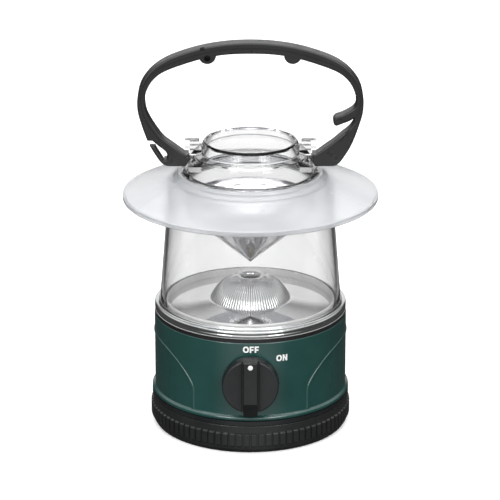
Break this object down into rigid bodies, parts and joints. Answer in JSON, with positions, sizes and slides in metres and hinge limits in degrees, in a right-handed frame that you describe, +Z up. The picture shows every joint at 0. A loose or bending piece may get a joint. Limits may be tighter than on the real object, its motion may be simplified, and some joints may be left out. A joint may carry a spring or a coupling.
{
  "type": "camping lantern",
  "caption": "Battery camping lantern: clear globe with cone mirror under a frosted brim, green body with rotary switch, twist-off ribbed base and swinging bail handle with hooks.",
  "frame": {"origin": "centre of the base's underside, on the surface that the lantern stands on", "axes": "+Z up along the lantern's axis, -Y towards the knob, X along the handle's pivots"},
  "size_m": [0.151, 0.151, 0.2345],
  "materials": {
    "base_cap": "black, fine moulded texture",
    "base_seal": "matt",
    "carrier_screw": "zinc plated",
    "contact_disc": "black moulded",
    "lower_contacts": "nickel plated strip",
    "lower_springs": "nickel plated wire",
    "battery_cells": "plain sleeve",
    "battery_housing": "black, fine moulded texture",
    "body_shell": "deep green, satin gloss",
    "upper_contacts": "nickel plated strip",
    "upper_springs": "nickel plated wire",
    "globe_screws": "zinc plated",
    "led_board": "white solder mask",
    "led_emitter": "yellow phosphor under a clear dome",
    "board_screws": "zinc plated",
    "dome_lens": "clear, fine flutes",
    "base_reflector": "metallised, mirror bright",
    "switch_body": "black moulded",
    "switch_cover": "brown laminate",
    "switch_shaft": "turned",
    "switch_wiper": "stamped",
    "switch_nut": "nickel plated",
    "switch_terminals": "tinned",
    "knob": "black, satin gloss",
    "wire_positive": "red insulation",
    "wire_switched": "yellow insulation",
    "wire_negative": "black insulation",
    "globe_gasket": "matt",
    "globe": "clear",
    "cone_mirror": "metallised, mirror bright",
    "shade": "frosted, translucent white",
    "top_cap": "clear",
    "handle": "charcoal, fine moulded texture"
  },
  "bodies": {
    "body": {"battery_cells": "battery_cells", "battery_housing": "battery_housing", "body_shell": "body_shell", "upper_contacts": "upper_contacts", "upper_springs": "upper_springs", "globe_screws": "globe_screws", "led_board": "led_board", "led_emitter": "led_emitter", "board_screws": "board_screws", "dome_lens": "dome_lens", "base_reflector": "base_reflector", "switch_body": "switch_body", "switch_cover": "switch_cover", "switch_nut": "switch_nut", "switch_terminals": "switch_terminals", "wire_positive": "wire_positive", "wire_switched": "wire_switched", "wire_negative": "wire_negative", "globe_gasket": "globe_gasket", "globe": "globe", "cone_mirror": "cone_mirror", "shade": "shade", "top_cap": "top_cap"},
    "contact_carrier": {"contact_disc": "contact_disc", "lower_contacts": "lower_contacts", "lower_springs": "lower_springs"},
    "base_cap": {"base_cap": "base_cap", "base_seal": "base_seal", "carrier_screw": "carrier_screw"},
    "knob": {"knob": "knob", "switch_shaft": "switch_shaft", "switch_wiper": "switch_wiper"},
    "handle": {"handle": "handle"}
  },
  "joints": [
    {"name": "handle_swing", "type": "hinge", "parent": "body", "child": "handle", "pos_m": [0, 0, 0.16357], "axis": [1, 0, 0], "range_deg": [-92, 92]},
    {"name": "knob_turn", "type": "hinge", "parent": "body", "child": "knob", "pos_m": [0, -0.06, 0.0445], "axis": [0, 1, 0], "range_deg": [0, 48]},
    {"name": "cap_drop", "type": "slide", "parent": "body", "child": "contact_carrier", "axis": [0, 0, -1], "range_m": [0, 0.00707], "deforming": ["lower_springs", "upper_springs"]},
    {"name": "cap_twist", "type": "hinge", "parent": "contact_carrier", "child": "base_cap", "pos_m": [0, 0, 0], "axis": [0, 0, -1], "range_deg": [0, 100]}
  ],
  "couplings": [
    {"joint": "cap_drop", "follows": "cap_twist", "m_per_rad": 0.0038197}
  ]
}
